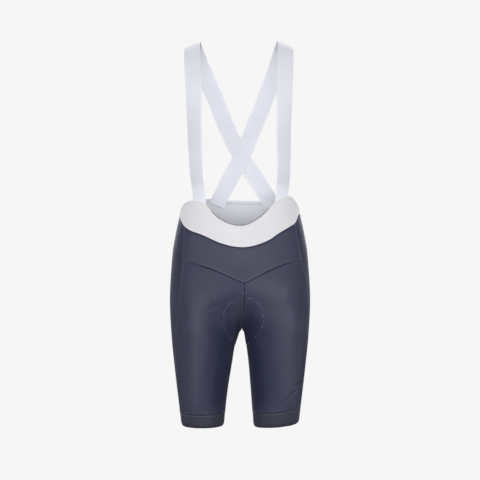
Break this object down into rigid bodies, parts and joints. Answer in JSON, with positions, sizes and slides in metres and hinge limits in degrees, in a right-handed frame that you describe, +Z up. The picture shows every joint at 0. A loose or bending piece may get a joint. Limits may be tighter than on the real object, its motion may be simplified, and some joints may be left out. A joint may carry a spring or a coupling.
{
  "type": "cycling bib shorts",
  "caption": "Cycling bib shorts in worn, hollow form: dark knit legs with hem grippers, a pale dipped waistband, a seat pad and flat shoulder straps that cross at the back.",
  "frame": {"origin": "midway between the two shoulder straps where the shoulders carry them", "axes": "-Y the front, +X the wearer's left, +Z up"},
  "size_m": [0.3361, 0.2382, 0.925],
  "materials": {
    "navy_knit": "smooth warp knit with a soft sheen, dark blue grey",
    "hem_gripper": "firm elastic knit, dark blue grey",
    "white_band": "fine matt elastic knit, near white",
    "strap_elastic": "flat woven elastic, pale grey",
    "pad_foam": "brushed cover over moulded foam"
  },
  "bodies": {
    "root": {"waistband_front": "white_band", "waistband_back": "white_band", "back_binding": "white_band", "yoke_front": "navy_knit", "leg_front_left": "navy_knit", "leg_front_right": "navy_knit", "leg_back_left": "navy_knit", "leg_back_right": "navy_knit", "hem_left": "hem_gripper", "hem_right": "hem_gripper", "strap_left": "strap_elastic", "strap_right": "strap_elastic", "seat_pad": "pad_foam"}
  },
  "joints": []
}
